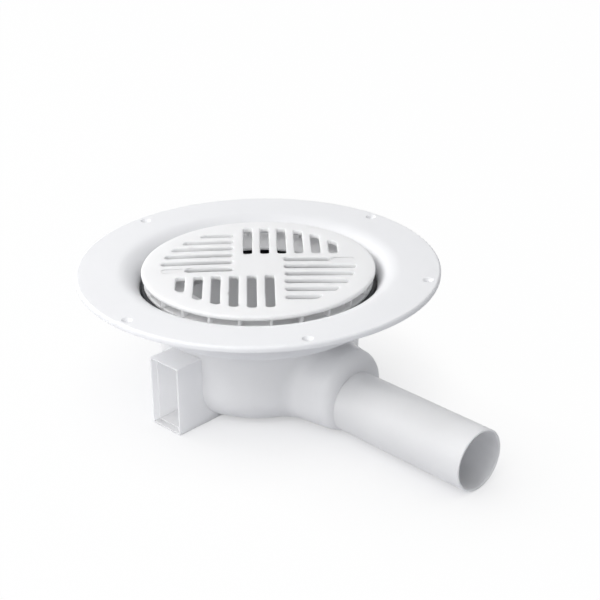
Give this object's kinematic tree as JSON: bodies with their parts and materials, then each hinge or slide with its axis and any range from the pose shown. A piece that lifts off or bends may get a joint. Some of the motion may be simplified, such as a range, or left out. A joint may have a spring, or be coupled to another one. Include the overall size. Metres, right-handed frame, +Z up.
{
  "type": "flat roof drain",
  "caption": "Round flat roof drain with a wide screw-down flange, dished throat, loose pinwheel-slotted grate, black seal ring, bowl with a horizontal outlet pipe and a hollow foot.",
  "frame": {"origin": "point of the floor under the axis of the flange, on the flat underside of the bowl", "axes": "+Z up along the axis of the flange and bowl, +X along the outlet pipe, -Y towards the hollow foot"},
  "size_m": [0.388, 0.3, 0.1112],
  "materials": {
    "flange_plastic": "satin white moulded plastic",
    "body_plastic": "satin white moulded plastic",
    "seal_rubber": "matt black rubber",
    "grate_plastic": "satin white moulded plastic"
  },
  "bodies": {
    "root": {"roof_flange": "flange_plastic", "drain_body": "body_plastic", "seal_ring": "seal_rubber", "grate": "grate_plastic"}
  },
  "joints": []
}
